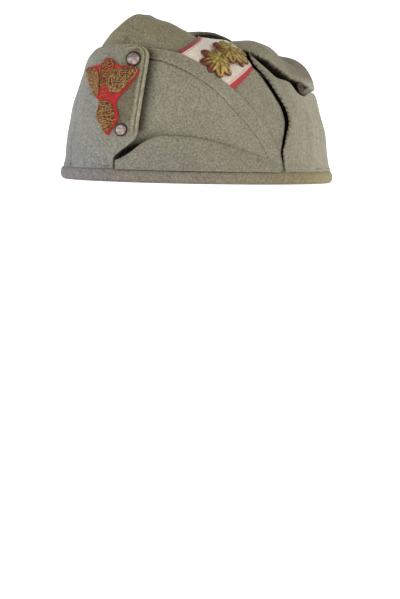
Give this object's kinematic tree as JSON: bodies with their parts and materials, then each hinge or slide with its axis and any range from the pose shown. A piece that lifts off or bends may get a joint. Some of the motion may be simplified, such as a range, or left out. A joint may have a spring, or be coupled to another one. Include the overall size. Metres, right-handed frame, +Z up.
{
  "type": "garrison cap",
  "caption": "Soft wool garrison cap with a boat-shaped sunk crown, folded flaps, rolled rim, embroidered bird badge, snaps and a ribbon with cast oak leaves.",
  "frame": {"origin": "centre of the rim on the surface that the cap rests on", "axes": "+Z up, -Y towards the front of the cap, +X towards the wearer's left"},
  "size_m": [0.1519, 0.2091, 0.1023],
  "materials": {
    "cloth": "matt grey-green wool twill, slightly felted",
    "snap_metal": "tarnished, domed",
    "red_felt": "matt felt",
    "gold_thread": "dulled metal thread",
    "ribbon_weave": "ribbed silk, white with red edges",
    "leaf_metal": "cast, gilt, dark in the hollows",
    "stud_lacquer": "worn brown lacquer"
  },
  "bodies": {
    "root": {"crown": "cloth", "rim_roll": "cloth", "side_flap_left": "cloth", "side_flap_right": "cloth", "lower_panel_left": "cloth", "lower_panel_right": "cloth", "rear_flap": "cloth", "front_visor": "cloth", "snap_upper_left": "snap_metal", "snap_lower_left": "snap_metal", "badge_felt": "red_felt", "badge_body": "gold_thread", "badge_wing_left": "gold_thread", "badge_wing_right": "gold_thread", "ribbon": "ribbon_weave", "oak_leaf_front": "leaf_metal", "oak_leaf_middle": "leaf_metal", "oak_leaf_rear": "leaf_metal", "rear_stud": "stud_lacquer"}
  },
  "joints": []
}
